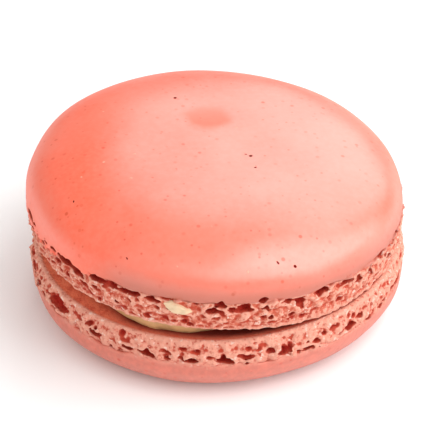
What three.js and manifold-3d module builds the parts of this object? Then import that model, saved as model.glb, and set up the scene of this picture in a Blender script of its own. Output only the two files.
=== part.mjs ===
// A French macaron: two almond meringue shells pressed together on a wedge of cream.
//
// Each shell has a smooth, low dome of a cap that rose straight off a craggy foot. The lower shell
// lies upside down on the flat of its cap. The upper shell leans: it is pressed down on the right
// and lifts on the left, where the lower shell swells into the gap and the cream looks out.
//
// Millimetres, +Z up. The origin is on the table under the middle of the biscuit. A bearing is an
// angle about +Z in degrees, 0 at the front (-Y) and positive to the right (+X).
import * as THREE from "three";
import { mergeVertices } from "three/addons/utils/BufferGeometryUtils.js";
import Module from "manifold-3d";

const wasm = await Module();
wasm.setup();

// Driving dimensions

const DIAMETER = 46; // across the rim of the upper cap
const RIM_RADIUS = DIAMETER / 2;

// Heights are measured from the shell's inner face, which meets the cream, towards its cap.
const UPPER_SHELL = {
  rimRadius: RIM_RADIUS,
  footHeight: 4.2,
  capHeight: 6.9,
  flatRadius: 0,
  capPowers: { out: 4.5, up: 2.4 },
  noiseSeed: 11,
};
const LOWER_SHELL = {
  rimRadius: RIM_RADIUS + 0.1,
  footHeight: 3.0,
  capHeight: 5.4,
  flatRadius: 13, // the flat spot that the biscuit stands on
  capPowers: { out: 3.2, up: 2.3 },
  noiseSeed: 29,
};

const GAP = 1.6; // between the two inner faces, in the middle
const LEAN_DEG = 3.4; // the upper shell's tilt, up on the left
const UPPER_SHIFT_X = -0.5; // the upper shell sits a little to the left

// Shape of every shell
const INNER_FACE_INSET = 1.3; // rim radius less the radius of the flat inner face
const LIP_HEIGHT = 0.5; // rounded edge between the inner face and the foot
const LIP_INSET = 0.5;
const FOOT_BULGE = 0.3; // how far the middle of the foot swells past its edges
const CREVICE_DEPTH = 0.6; // groove between the foot and the cap's skin, deeper in places
const CREVICE_HEIGHT = 0.5;
const CREVICE_VARIES = 0.45;
const RUFFLE_DEPTH = 0.35; // crags of the foot, in and out
const RIM_WAVER = 0.3; // how far the cap's edge wanders up and down

// The lower shell's inner face takes up this share of the gap's widening, over this width.
const SWELL_SHARE = 0.8;
const SWELL_WIDTH = 2.6;

// Mark that the piping bag left behind the middle of the upper cap
const PIPING_MARK = { x: -0.5, y: 6.5, radius: 3.4, depth: 0.25 };

// Pores at the front of the feet, as [bearing, height above the inner face, radius]
const UPPER_PORES = [
  [-62, 2.6, 0.75],
  [-45, 3.5, 0.7],
  [-37, 3.8, 0.75],
  [-33, 2.3, 0.5],
  [-25, 3.9, 0.7],
  [1, 4.3, 0.8],
  [-2, 3.2, 0.8],
  [9, 3.6, 0.6],
  [15, 4.6, 0.7],
  [17, 3.2, 0.6],
  [24, 3.4, 0.6],
  [63, 4.1, 0.8],
  [52, 3.0, 0.55],
];
const LOWER_PORES = [
  [-59, 1.9, 1.2],
  [-42, 1.9, 0.9],
  [-22, 1.9, 0.8],
  [-8, 2.2, 0.8],
  [3, 2.3, 1.0],
  [21, 2.1, 0.95],
  [30, 2.2, 0.7],
  [47, 1.9, 0.8],
  [64, 1.0, 0.65],
];
// The rest of each foot carries pores that a seeded rule spreads evenly.
const HIDDEN_PORES = 16;
const HIDDEN_FROM = 74;
const HIDDEN_TO = 286;
const HIDDEN_RADIUS = [0.55, 1.05];
const PORE_WIDEN = 1.2; // a pore is wider than deep, and lower still
const PORE_FLATTEN = 0.8;

// Chip of blanched almond caught in the upper foot
const ALMOND = { bearing: -11.5, height: 3.1, length: 3.2, width: 1.5, slope: -16, proud: 0.25 };

// Cream
const CREAM_RADIUS = 19.6;
const CREAM_BULGE = 2.0; // how much further it reaches where it shows
const CREAM_BULGE_BEARING = -27;
const CREAM_BULGE_SPREAD = 24;
const CREAM_SIDE_SWELL = 0.35;
const CREAM_CLEARANCE = 0.12; // to each shell

// Smoothness
const SEGMENTS = 84;
const FOOT_STATIONS = 5;
const CAP_STATIONS = 8;
const CREAM_SEGMENTS = 60;

const CAP_PINK = 0xf49a84;
const CREAM_BEIGE = 0xc9a06f;

// Small helpers

const radians = THREE.MathUtils.degToRad;
const lean = radians(LEAN_DEG);

// A bearing's difference to another, between -180 and 180 degrees.
function bearingGap(a, b) {
  return THREE.MathUtils.euclideanModulo(a - b + 180, 360) - 180;
}

function bell(x, spread) {
  return Math.exp(-((x / spread) ** 2));
}

// Random numbers from 0 to 1 that are the same on every run.
function seededRandom(seed) {
  let state = seed;
  return () => {
    state = (state * 16807) % 2147483647;
    return state / 2147483647;
  };
}

// Smooth noise from -1 to 1 over a bearing and a height, with no seam where the bearing wraps.
function ringNoise(seed, cellsAround, cellHeight) {
  const random = seededRandom(seed);
  const rows = 16;
  const lattice = Array.from({ length: rows * cellsAround }, () => 2 * random() - 1);
  const at = (i, j) => lattice[(j % rows) * cellsAround + (i % cellsAround)];
  return (bearing, height) => {
    const u = THREE.MathUtils.euclideanModulo(bearing / 360, 1) * cellsAround;
    const v = Math.max(0, height / cellHeight);
    const i = Math.floor(u);
    const j = Math.floor(v);
    const s = THREE.MathUtils.smoothstep(u - i, 0, 1);
    const t = THREE.MathUtils.smoothstep(v - j, 0, 1);
    const low = THREE.MathUtils.lerp(at(i, j), at(i + 1, j), s);
    const high = THREE.MathUtils.lerp(at(i, j + 1), at(i + 1, j + 1), s);
    return THREE.MathUtils.lerp(low, high, t);
  };
}

// A three.js geometry as a manifold solid, and back.
function toSolid(geometry) {
  const bare = geometry.clone();
  bare.deleteAttribute("normal");
  bare.deleteAttribute("uv");
  const merged = mergeVertices(bare, 1e-4);
  return new wasm.Manifold(
    new wasm.Mesh({
      numProp: 3,
      vertProperties: new Float32Array(merged.getAttribute("position").array),
      triVerts: new Uint32Array(merged.index.array),
    }),
  );
}

function toGeometry(solid) {
  const mesh = solid.getMesh();
  const geometry = new THREE.BufferGeometry();
  geometry.setAttribute("position", new THREE.BufferAttribute(mesh.vertProperties, 3));
  geometry.setIndex(new THREE.BufferAttribute(mesh.triVerts, 1));
  geometry.computeVertexNormals();
  return geometry;
}

// Turns an outline about +Z. It runs from the axis out along the inner face and over the cap.
function turned(outline, segments) {
  return new THREE.LatheGeometry(outline, segments).rotateX(Math.PI / 2);
}

// Shells

// Outline of a shell from the middle of its inner face to the middle of its cap. The cap is a
// superellipse, which is fuller than an ellipse.
function shellOutline(shell) {
  const { rimRadius, footHeight, capHeight, flatRadius, capPowers } = shell;
  const innerRadius = rimRadius - INNER_FACE_INSET;
  const lipRadius = rimRadius - LIP_INSET;
  const points = [
    new THREE.Vector2(0, 0),
    new THREE.Vector2(innerRadius - SWELL_WIDTH, 0),
    new THREE.Vector2(innerRadius - SWELL_WIDTH / 2, 0),
    new THREE.Vector2(innerRadius, 0),
  ];

  const footTop = footHeight - CREVICE_HEIGHT;
  for (let i = 0; i <= FOOT_STATIONS; i++) {
    const t = i / FOOT_STATIONS;
    const swell = FOOT_BULGE * Math.sin(Math.PI * t) + LIP_INSET * t;
    points.push(new THREE.Vector2(lipRadius + swell, THREE.MathUtils.lerp(LIP_HEIGHT, footTop, t)));
  }
  points.push(new THREE.Vector2(rimRadius - CREVICE_DEPTH, footHeight - CREVICE_HEIGHT / 2));

  for (let i = 0; i <= CAP_STATIONS; i++) {
    const angle = ((Math.PI / 2) * i) / CAP_STATIONS;
    const out = i < CAP_STATIONS ? Math.cos(angle) ** (2 / capPowers.out) : 0;
    const up = Math.sin(angle) ** (2 / capPowers.up);
    points.push(
      new THREE.Vector2(flatRadius + (rimRadius - flatRadius) * out, footHeight + capHeight * up),
    );
  }
  if (flatRadius > 0) points.push(new THREE.Vector2(0, footHeight + capHeight));
  return points;
}

// Presses crags into the foot and lets the cap's edge wander.
function weather(geometry, shell) {
  const ruffles = ringNoise(shell.noiseSeed, 40, 1.3);
  const waver = ringNoise(shell.noiseSeed + 1, 14, 50);
  const crevice = ringNoise(shell.noiseSeed + 3, 30, 50);
  const creviceHeight = shell.footHeight - CREVICE_HEIGHT / 2;
  const position = geometry.getAttribute("position");
  const point = new THREE.Vector3();
  for (let i = 0; i < position.count; i++) {
    point.fromBufferAttribute(position, i);
    const radius = Math.hypot(point.x, point.y);
    if (radius < shell.rimRadius - INNER_FACE_INSET - 0.01) continue;
    const bearing = THREE.MathUtils.radToDeg(Math.atan2(point.x, -point.y));
    const height = point.z;
    const inFoot =
      THREE.MathUtils.smoothstep(height, 0, LIP_HEIGHT) *
      (1 - THREE.MathUtils.smoothstep(height, shell.footHeight - 0.3, shell.footHeight + 0.3));
    const nearRim = bell(height - shell.footHeight, 1.2);
    const inCrevice = bell(height - creviceHeight, CREVICE_HEIGHT / 4);
    const shove =
      inFoot * RUFFLE_DEPTH * ruffles(bearing, height) + inCrevice * CREVICE_VARIES * crevice(bearing, 0);
    const out = 1 + shove / radius;
    const up = nearRim * RIM_WAVER * waver(bearing, 0);
    position.setXYZ(i, point.x * out, point.y * out, height + up);
  }
  return geometry;
}

// Height of the gap between the two flat inner faces, which the lean opens to the left.
function gapAt(x) {
  return GAP - (x - UPPER_SHIFT_X) * Math.tan(lean);
}

// How far the lower shell's inner face swells into the gap.
function faceSwell(x, y) {
  const inset = LOWER_SHELL.rimRadius - INNER_FACE_INSET - Math.hypot(x, y);
  const widening = Math.max(gapAt(x) - GAP, 0);
  return SWELL_SHARE * widening * THREE.MathUtils.smoothstep(inset, 0, SWELL_WIDTH);
}

// Swells the inner face of the lower shell, which still lies face down.
function swellInnerFace(geometry) {
  const position = geometry.getAttribute("position");
  for (let i = 0; i < position.count; i++) {
    if (Math.abs(position.getZ(i)) > 0.001) continue;
    position.setZ(i, -faceSwell(position.getX(i), position.getY(i)));
  }
  return geometry;
}

// Sinks the shallow mark of the piping bag into the cap.
function pressPipingMark(geometry, shell) {
  const position = geometry.getAttribute("position");
  for (let i = 0; i < position.count; i++) {
    if (position.getZ(i) < shell.footHeight + shell.capHeight / 2) continue;
    const away = Math.hypot(position.getX(i) - PIPING_MARK.x, position.getY(i) - PIPING_MARK.y);
    const sink = PIPING_MARK.depth * bell(away, PIPING_MARK.radius);
    position.setZ(i, position.getZ(i) - sink);
  }
  return geometry;
}

// A burst bubble in the foot's outer wall.
function pore(shell, [bearing, height, radius]) {
  const wall = shell.rimRadius - 0.1;
  const geometry = new THREE.IcosahedronGeometry(radius, 1);
  geometry.scale(PORE_WIDEN, 1, PORE_FLATTEN);
  geometry.rotateZ(radians(bearing));
  geometry.translate(wall * Math.sin(radians(bearing)), -wall * Math.cos(radians(bearing)), height);
  return toSolid(geometry);
}

// Pores round the sides and back, one to each equal stretch of the foot.
function hiddenPores(shell) {
  const random = seededRandom(shell.noiseSeed + 2);
  const stretch = (HIDDEN_TO - HIDDEN_FROM) / HIDDEN_PORES;
  return Array.from({ length: HIDDEN_PORES }, (_, i) => [
    HIDDEN_FROM + stretch * (i + 0.15 + 0.7 * random()),
    shell.footHeight * (0.35 + 0.5 * random()),
    THREE.MathUtils.lerp(...HIDDEN_RADIUS, random()),
  ]);
}

function almondChip(shell) {
  const reach = shell.rimRadius + ALMOND.proud - ALMOND.width / 4;
  const geometry = new THREE.SphereGeometry(0.5, 14, 8);
  geometry.scale(ALMOND.length, ALMOND.width, ALMOND.width);
  geometry.rotateY(radians(-ALMOND.slope));
  geometry.translate(0, -reach, ALMOND.height);
  geometry.rotateZ(radians(ALMOND.bearing));
  return toSolid(geometry);
}

// A whole shell on its inner face, cap up.
function bakedShell(shell, pores) {
  const body = weather(turned(shellOutline(shell), SEGMENTS), shell);
  if (shell === UPPER_SHELL) pressPipingMark(body, shell);
  else swellInnerFace(body);
  return pores.reduce((solid, place) => solid.subtract(pore(shell, place)), toSolid(body));
}

// Cream

// How far the cream reaches at a bearing: to the lip at the front left, further in elsewhere.
function creamReach(bearing) {
  return CREAM_RADIUS + CREAM_BULGE * bell(bearingGap(bearing, CREAM_BULGE_BEARING), CREAM_BULGE_SPREAD);
}

// A disc that fills the wedge between the two inner faces.
function creamGeometry(lowerFace, upperFace) {
  const outline = [
    new THREE.Vector2(0, 0),
    new THREE.Vector2(0.82, 0),
    new THREE.Vector2(0.88, 0),
    new THREE.Vector2(0.94, 0),
    new THREE.Vector2(1, 0),
    new THREE.Vector2(1, 0.25),
    new THREE.Vector2(1, 0.5),
    new THREE.Vector2(1, 0.75),
    new THREE.Vector2(1, 1),
    new THREE.Vector2(0, 1),
  ];
  const geometry = turned(outline, CREAM_SEGMENTS);
  const position = geometry.getAttribute("position");
  for (let i = 0; i < position.count; i++) {
    const share = position.getZ(i);
    const bearing = THREE.MathUtils.radToDeg(Math.atan2(position.getX(i), -position.getY(i)));
    const swell = CREAM_SIDE_SWELL * Math.sin(Math.PI * share);
    const x = position.getX(i) * (creamReach(bearing) + swell);
    const y = position.getY(i) * (creamReach(bearing) + swell);
    const low = lowerFace(x, y) + CREAM_CLEARANCE;
    const high = upperFace(x, y) - CREAM_CLEARANCE;
    position.setXYZ(i, x, y, THREE.MathUtils.lerp(low, high, share));
  }
  return geometry;
}

// Assembly

const lowerFaceZ = LOWER_SHELL.capHeight + LOWER_SHELL.footHeight;
const upperFaceZ = lowerFaceZ + GAP;

const cakePink = new THREE.MeshStandardMaterial({ color: CAP_PINK, roughness: 0.6, metalness: 0 });
const cream = new THREE.MeshStandardMaterial({ color: CREAM_BEIGE, roughness: 0.45, metalness: 0 });

// The lower shell is turned over about X, so its bearings run the other way until it is.
const lowerPores = [...LOWER_PORES, ...hiddenPores(LOWER_SHELL)].map(([bearing, ...rest]) => [
  180 - bearing,
  ...rest,
]);
const shellBottom = new THREE.Mesh(toGeometry(bakedShell(LOWER_SHELL, lowerPores)), cakePink.clone());
shellBottom.name = "shell_bottom";
shellBottom.rotation.x = Math.PI;
shellBottom.position.z = lowerFaceZ;

const upperPores = [...UPPER_PORES, ...hiddenPores(UPPER_SHELL)];
const shellTop = new THREE.Mesh(
  toGeometry(bakedShell(UPPER_SHELL, upperPores).add(almondChip(UPPER_SHELL))),
  cakePink,
);
shellTop.name = "shell_top";
const leaning = new THREE.Group();
leaning.position.set(UPPER_SHIFT_X, 0, upperFaceZ);
leaning.rotation.y = lean;
leaning.add(shellTop);

const filling = new THREE.Mesh(
  creamGeometry(
    (x, y) => lowerFaceZ + faceSwell(x, y),
    (x) => lowerFaceZ + gapAt(x),
  ),
  cream,
);
filling.name = "filling";

const macaron = new THREE.Group();
macaron.add(shellBottom, filling, leaning);

export default macaron;
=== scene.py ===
"""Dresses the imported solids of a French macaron: baked shells, cream, almond and studio."""

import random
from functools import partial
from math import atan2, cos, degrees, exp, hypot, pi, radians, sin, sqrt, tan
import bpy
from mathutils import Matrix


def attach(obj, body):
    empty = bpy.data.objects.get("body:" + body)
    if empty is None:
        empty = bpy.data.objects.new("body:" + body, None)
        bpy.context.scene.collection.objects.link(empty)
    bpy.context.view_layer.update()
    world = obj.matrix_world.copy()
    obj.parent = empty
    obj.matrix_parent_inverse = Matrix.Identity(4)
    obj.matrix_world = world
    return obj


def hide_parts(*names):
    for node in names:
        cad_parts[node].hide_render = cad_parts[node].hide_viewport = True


bl_info = {
    "name": "French macaron",
    "version": (1, 0, 0),
    "blender": (4, 5, 0),
    "location": "View3D > Sidebar > Macaron",
    "description": "Models the shells, the cream and the almond of a French macaron",
    "category": "Add Mesh",
}

from types import SimpleNamespace

import bpy
import numpy as np
from bpy.props import FloatProperty, FloatVectorProperty, IntProperty, PointerProperty
from mathutils import Euler, Matrix, Vector
from mathutils.bvhtree import BVHTree

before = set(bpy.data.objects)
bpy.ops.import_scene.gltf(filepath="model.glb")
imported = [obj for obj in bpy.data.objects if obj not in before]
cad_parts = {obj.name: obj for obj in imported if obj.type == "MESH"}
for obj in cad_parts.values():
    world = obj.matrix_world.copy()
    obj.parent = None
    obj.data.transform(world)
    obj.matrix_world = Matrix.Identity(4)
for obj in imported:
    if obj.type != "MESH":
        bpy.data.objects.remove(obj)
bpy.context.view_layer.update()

MM = 0.001

# The photograph's frame, in pixels
FRAME_PIXELS = 440

# Fineness of the modelled feet: voxels, the share of faces kept and the steps of a turned outline
RING_VOXEL = 0.2 * MM
FOOT_VOXEL = 0.13 * MM
BUBBLE_VOXEL = 0.10 * MM
FOOT_KEPT = 0.42
LATHE_STEPS = 280

# A shell's section: how far its parts lie inside the rim, and how its lip and its skin's edge are rounded
CORE_INSET = 2.8 * MM
FACE_INSET = 1.1 * MM
LIP_INSET = 0.5 * MM
LIP_ROUND = 0.45 * MM
SKIN_ROUND = (0.32 * MM, 0.22 * MM)

# How far left of the middle the skin's dip starts, and where it is full
DIP_SPAN = (11 * MM, 20 * MM)

# Large pores where the photograph doesn't show the feet: bearings in degrees, and how many
UNSEEN = (68, 292)
UNSEEN_PORES = 34

# Large pores that show at the front: bearing in degrees, 0 at the front and positive to the
# right, then height above the inner face, half width and half height in millimetres
UPPER_PORES = (
    (-50, 3.7, 1.0, 0.6), (-44, 3.3, 0.8, 0.6), (-37, 3.9, 0.9, 0.55), (-31, 3.9, 0.6, 0.5),
    (-32, 2.2, 0.45, 0.4), (-25, 3.8, 0.95, 0.45), (-18.5, 3.7, 0.75, 0.4), (1.5, 4.2, 0.62, 0.6),
    (-1, 3.2, 0.9, 0.45), (5, 3.3, 0.5, 0.4), (9, 3.4, 0.7, 0.4), (13.5, 4.6, 0.6, 0.55),
    (15, 3.5, 0.5, 0.4), (22, 3.9, 1.9, 0.16), (25, 3.2, 0.6, 0.4), (33, 3.9, 0.9, 0.3),
    (43, 3.8, 0.7, 0.4), (47, 3.1, 0.5, 0.45), (52, 3.3, 0.5, 0.4), (58, 4.4, 1.1, 0.32),
    (62, 3.2, 0.6, 0.45), (67, 3.9, 0.7, 0.35),
)
LOWER_PORES = (
    (-56, 1.5, 1.5, 1.0), (-39, 2.1, 0.8, 0.5), (-21, 2.2, 0.7, 0.6), (-27, 2.3, 0.5, 0.35),
    (-8, 2.5, 0.8, 0.4), (2, 2.4, 0.9, 0.5), (9, 2.2, 0.4, 0.3), (19, 2.1, 0.8, 0.55),
    (27, 2.6, 1.0, 0.25), (43, 2.2, 0.8, 0.4), (47, 1.7, 0.4, 0.3),
)

# Flecks that the photograph shows on the upper cap, as millimetres right of and behind its middle
PALE_FLECKS = ((-0.7, -16.4), (2.4, 3.7), (3.5, -21.6), (-4.5, -21.2), (-13.5, -4.5), (-16, -7), (-14, 7))
DARK_FLECKS = (
    (-16.7, -10.9), (-10.2, -19.5), (-5.2, 10.4), (4.5, -4.9), (3.4, -2.1), (4.0, -2.4),
    (6.9, -20.2), (8.9, -20.0),
)

# Where rays towards the biscuit start, clear of it, and about a full turn in radians
CLEAR = 30 * MM
FULL_TURN = 6.3

# Middle of a patch of painted shade on the bench: deeper, more orange skin at the front left of the upper
# cap, where it catches no sheen
SHADE_PATCH_MIDDLE = (-10 * MM, -6 * MM, 10 * MM)

# Freckles of the skin, in layers: cells to a metre, size in a cell, share left out and strength
FRECKLES = ((520, 0.17, 0.55, 0.6), (1050, 0.22, 0.5, 0.45), (830, 0.27, 0.3, 0.3))

# About the middle of the biscuit, where the lights aim
BISCUIT_MIDDLE = Vector((0, 0, 0.01))

# Soft lights: azimuth and elevation in degrees, distance and sides in metres, radiance and tint
WHITE = (1, 1, 1)
LIGHTS = {
    "window behind": (28, 35, 0.7, (0.62, 0.54), 1.95, WHITE),
    "window above": (102, 60, 0.7, (0.50, 0.40), 2.8, WHITE),
    "window right": (106, 25, 0.7, (0.80, 0.48), 2.6, WHITE),
    "front window": (158, 42, 0.8, (0.60, 0.60), 1.7, WHITE),
    "left fill": (250, 34, 0.8, (1.4, 1.0), 0.75, (1, 0.96, 0.90)),
}
WORLD_STRENGTH = 0.39


# Properties


def length(name, description, millimetres):
    """A property that holds a length."""
    return FloatProperty(
        name=name, description=description, default=millimetres * MM, subtype="DISTANCE", unit="LENGTH"
    )


def colour(name, description, value):
    """A property that holds a linear colour."""
    return FloatVectorProperty(
        name=name, description=description, default=value, size=3, min=0, max=1, subtype="COLOR"
    )


class MacaronSizes(bpy.types.PropertyGroup):
    """Sizes of the biscuit, as the solids have them"""

    upper_rim: length("Upper rim", "Radius of the upper cap's rim", 23.0)
    lower_rim: length("Lower rim", "Radius of the lower cap's rim", 23.1)
    upper_foot: length("Upper foot", "Height of the upper shell's foot", 4.2)
    upper_cap: length("Upper cap", "Height of the upper cap above its foot", 6.9)
    lower_foot: length("Lower foot", "Height of the lower shell's foot", 3.0)
    lower_cap: length("Lower cap", "Height of the lower cap below its foot", 5.4)
    lower_flat: length("Flat spot", "Radius of the flat spot that the biscuit stands on", 13.0)
    gap: length("Gap", "Distance between the inner faces, in the middle", 1.6)
    shift: length("Shift", "How far right the upper shell sits", -0.5)
    lean: FloatProperty(
        name="Lean",
        description="Tilt of the upper shell, up on the left",
        default=radians(3.4),
        subtype="ANGLE",
        unit="ROTATION",
    )
    swell_share: FloatProperty(
        name="Swell",
        description="Share of the gap's widening that the lower inner face takes up",
        default=0.8,
    )
    swell_width: length("Swell width", "Width of the slope that leads up to the swell", 2.6)
    cream_radius: length("Cream radius", "Reach of the cream where it stays inside", 19.4)
    cream_bulge: length("Cream bulge", "How much further the cream reaches at the front left", 2.2)
    pits: IntProperty(name="Pits", description="Small burst bubbles round one foot", default=720, min=0)


class MacaronColours(bpy.types.PropertyGroup):
    """Colours of the biscuit"""

    skin: colour("Skin", "Coral pink of the caps", (0.91, 0.158, 0.086))
    # Warm skin also paints shade in a patch at the front left of the upper cap.
    skin_warm: colour("Warm skin", "Patches of the caps with more orange", (0.92, 0.122, 0.052))
    skin_pale: colour("Pale skin", "Patches of the caps with less colour", (0.90, 0.230, 0.155))
    # Painted shade: darker skin low on the upper cap's wall, which gets less light than the top, left out
    # on the left.
    hem: colour("Hem", "Duller skin low on the upper cap's wall", (0.44, 0.116, 0.070))
    freckle: colour("Freckles", "Fine red dots in the skin", (0.62, 0.045, 0.010))
    foot: colour("Foot", "Crumb of the feet", (0.64, 0.146, 0.084))
    crumb: colour("Pale crumb", "Lightest crumb of the feet", (0.82, 0.372, 0.272))
    grain: colour("Pale grains", "Ground almond that shows in the feet", (0.88, 0.600, 0.500))
    # Painted shade: the two pore colours darken and redden the pores' walls, the second further down; the
    # first also darkens creases, small pits and the ledge on the right.
    pore_edge_shade: colour("Pore edges", "Shallow part of the pores", (0.54, 0.072, 0.038))
    pore: colour("Pores", "Depth of the pores", (0.40, 0.017, 0.008))
    # Painted shade: the lower cap's skin is darker than the upper cap's, and less saturated.
    shaded_lower_skin: colour("Lower skin", "Paler skin of the lower cap", (0.58, 0.152, 0.104))
    ledge: colour("Ledge", "Outer part of the smooth inner faces", (0.80, 0.205, 0.105))
    # Painted shadow: near-black for the deeper part of the inner faces, in the gap between the shells.
    inner: colour("Inner face", "Deeper part of the inner faces", (0.13, 0.009, 0.004))
    cream: colour("Cream", "Beige of the cream", (0.62, 0.345, 0.150))
    almond: colour("Almond", "Blanched almond", (0.76, 0.560, 0.365))
    almond_skin: colour("Almond skin", "Dark flecks of almond skin", (0.17, 0.012, 0.006))
    floor: colour("Floor", "Pale studio floor", (0.96, 0.96, 0.96))


# Bench work


def clear_selection():
    """Goes to object mode, with nothing selected."""
    if bpy.context.object and bpy.context.object.mode != "OBJECT":
        bpy.ops.object.mode_set(mode="OBJECT")
    bpy.ops.object.select_all(action="DESELECT")


def take_up(piece):
    """Makes a piece the only selected and active one."""
    clear_selection()
    piece.select_set(True)
    bpy.context.view_layer.objects.active = piece


def apply_modifier(piece, kind, **settings):
    """Adds a modifier with these settings and applies it."""
    take_up(piece)
    modifier = piece.modifiers.new(kind.title(), kind)
    for key, value in settings.items():
        setattr(modifier, key, value)
    bpy.ops.object.modifier_apply(modifier=modifier.name)


def remesh(piece, voxel):
    apply_modifier(piece, "REMESH", mode="VOXEL", voxel_size=voxel)


def combine(piece, operation, other):
    """Joins another body to a piece, or cuts it out."""
    apply_modifier(piece, "BOOLEAN", operation=operation, solver="MANIFOLD", object=other)


def shade_by_angle(piece, angle):
    """Shades a piece smooth, apart from edges that are sharper than an angle."""
    take_up(piece)
    bpy.ops.object.shade_smooth_by_angle(angle=radians(angle))


def off_axis(co):
    """Distance of a point from the middle axis."""
    return hypot(co.x, co.y)


def add(shape, **settings):
    """Adds one of Blender's mesh shapes."""
    clear_selection()
    getattr(bpy.ops.mesh, f"primitive_{shape}_add")(**settings)
    return bpy.context.object


def turn_profile(name, points, steps):
    """Draws an outline of radius and height points, and turns it about +Z."""
    piece = add("plane", size=MM)
    piece.name = name
    bpy.ops.object.mode_set(mode="EDIT")
    bpy.ops.mesh.merge(type="CENTER")
    bpy.ops.transform.translate(value=(points[0][0], 0, points[0][1]))
    for (radius, height), (next_radius, next_height) in zip(points, points[1:]):
        step = (next_radius - radius, 0, next_height - height)
        bpy.ops.mesh.extrude_region_move(TRANSFORM_OT_translate={"value": step})
    bpy.ops.mesh.select_all(action="SELECT")
    bpy.ops.mesh.spin(steps=steps, angle=2 * pi, center=(0, 0, 0), axis=(0, 0, 1))
    bpy.ops.mesh.select_all(action="SELECT")
    bpy.ops.mesh.remove_doubles(threshold=0.01 * MM)
    bpy.ops.mesh.normals_make_consistent(inside=False)
    bpy.ops.object.mode_set(mode="OBJECT")
    return piece


def arc(centre, across, up, start, end, count):
    """Points on an ellipse's arc, with angles in degrees, start and end included."""
    angles = [radians(start + (end - start) * i / count) for i in range(count + 1)]
    return [(centre[0] + across * cos(a), centre[1] + up * sin(a)) for a in angles]


def line(start, end, count):
    """Points along a line, without its start."""
    return [
        (start[0] + (end[0] - start[0]) * i / count, start[1] + (end[1] - start[1]) * i / count)
        for i in range(1, count + 1)
    ]


def weigh(piece, name, rule):
    """A vertex group whose weight at each vertex is the rule's value for its place."""
    group = piece.vertex_groups.new(name=name)
    for vertex in piece.data.vertices:
        weight = rule(vertex.co)
        if weight > 0.001:
            group.add([vertex.index], min(weight, 1), "REPLACE")
    return group.name


def clouds(name, size, depth=1):
    """A soft noise that pushes a surface in and out."""
    texture = bpy.data.textures.new(name, "CLOUDS")
    texture.noise_scale = size
    texture.noise_depth = depth
    return texture


def roughen(piece, texture, strength, group="", **settings):
    """Pushes a surface in and out by a texture, where the vertex group has weight."""
    settings |= {"texture": texture, "texture_coords": "LOCAL", "strength": strength, "vertex_group": group}
    apply_modifier(piece, "DISPLACE", **settings)


def press(piece, distance, group, **settings):
    """Pushes a surface by an even distance, where the vertex group has weight."""
    apply_modifier(piece, "DISPLACE", strength=distance, mid_level=0, vertex_group=group, **settings)


def push_out(co, distance):
    """Moves a point away from the middle axis."""
    out = 1 + distance / max(off_axis(co), MM)
    co.x *= out
    co.y *= out


def lumpy_ball(name, lump, strength):
    """A ball of radius one with lumps of a size."""
    ball = add("ico_sphere", subdivisions=2, radius=1)
    roughen(ball, clouds(name, lump), strength)
    return ball


def bearings(draw, count, start=0, end=360, slack=0):
    """Bearings round a foot, one by chance in each of a number of equal stretches."""
    for i in range(count):
        yield start + (end - start) * (i + draw.uniform(slack, 1 - slack)) / count


def ramp_up(value, low, high):
    """0 below low, 1 above high and smooth between."""
    share = min(max((value - low) / (high - low), 0), 1)
    return share * share * (3 - 2 * share)


def bell(value, spread):
    return exp(-((value / spread) ** 2))


def turned_place(bearing, reach, height):
    """The matrix that carries a thing made at the origin to a bearing and faces it outwards."""
    return Matrix.Rotation(radians(bearing), 4, "Z") @ Matrix.Translation((0, -reach, height))


def join(name, pieces):
    """Joins pieces into one."""
    clear_selection()
    for piece in pieces:
        piece.select_set(True)
    bpy.context.view_layer.objects.active = pieces[0]
    bpy.ops.object.join()
    joined = bpy.context.object
    joined.name = name
    joined.data.name = name
    return joined


def copy_of(template, matrix):
    """A copy with a mesh of its own, placed by a matrix that goes into the mesh."""
    made = template.copy()
    made.data = template.data.copy()
    made.data.transform(matrix)
    bpy.context.collection.objects.link(made)
    return made


def discard(piece):
    bpy.data.objects.remove(piece)


def place(piece, matrix):
    """Moves a finished piece to its place and keeps the place in its mesh."""
    take_up(piece)
    piece.matrix_world = matrix
    bpy.ops.object.transform_apply(location=True, rotation=True, scale=True)


# Shells


def lower_face(sizes):
    """Height of the lower shell's inner face above the table, at its lip."""
    return sizes.lower_foot + sizes.lower_cap


def gap_at(sizes, x):
    """Height of the gap between the two flat inner faces, which the lean opens to the left."""
    return sizes.gap - (x - sizes.shift) * tan(sizes.lean)


def upper_plan(sizes):
    """The upper shell on the bench, inner face down. It leans up on the left, where its skin dips lower."""
    face = Matrix.Translation((sizes.shift, 0, lower_face(sizes) + sizes.gap))
    return SimpleNamespace(
        name="upper_shell",
        rim=sizes.upper_rim,
        foot=sizes.upper_foot,
        cap=sizes.upper_cap,
        place=face @ Matrix.Rotation(sizes.lean, 4, "Y"),
        flat=0,
        powers=(4.5, 2.4),
        pores=UPPER_PORES,
        mark=(-1.0 * MM, 6.5 * MM, 3.4 * MM, 0.10 * MM),
        dip=1.4 * MM,
        lean_out=0.2 * MM,
        seed=5,
        coat=1.0,
        grain=0.17 * MM,
        blend=0.18 * MM,
        bubbles={"under skin": 40, "medium": 90, "pits": sizes.pits},
    )


def lower_plan(sizes):
    """The lower shell, turned over about X. Its foot runs smoothly into its skin."""
    face = Matrix.Translation((0, 0, lower_face(sizes)))
    return SimpleNamespace(
        name="lower_shell",
        rim=sizes.lower_rim,
        foot=sizes.lower_foot,
        cap=sizes.lower_cap,
        place=face @ Matrix.Rotation(pi, 4, "X"),
        flat=sizes.lower_flat,
        powers=(3.2, 2.3),
        pores=LOWER_PORES,
        mark=None,
        dip=0.0,
        lean_out=0.0,
        seed=17,
        coat=0.3,
        grain=0.11 * MM,
        blend=0.8 * MM,
        bubbles={"under skin": 12, "medium": 55, "pits": int(0.75 * sizes.pits)},
    )


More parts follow.
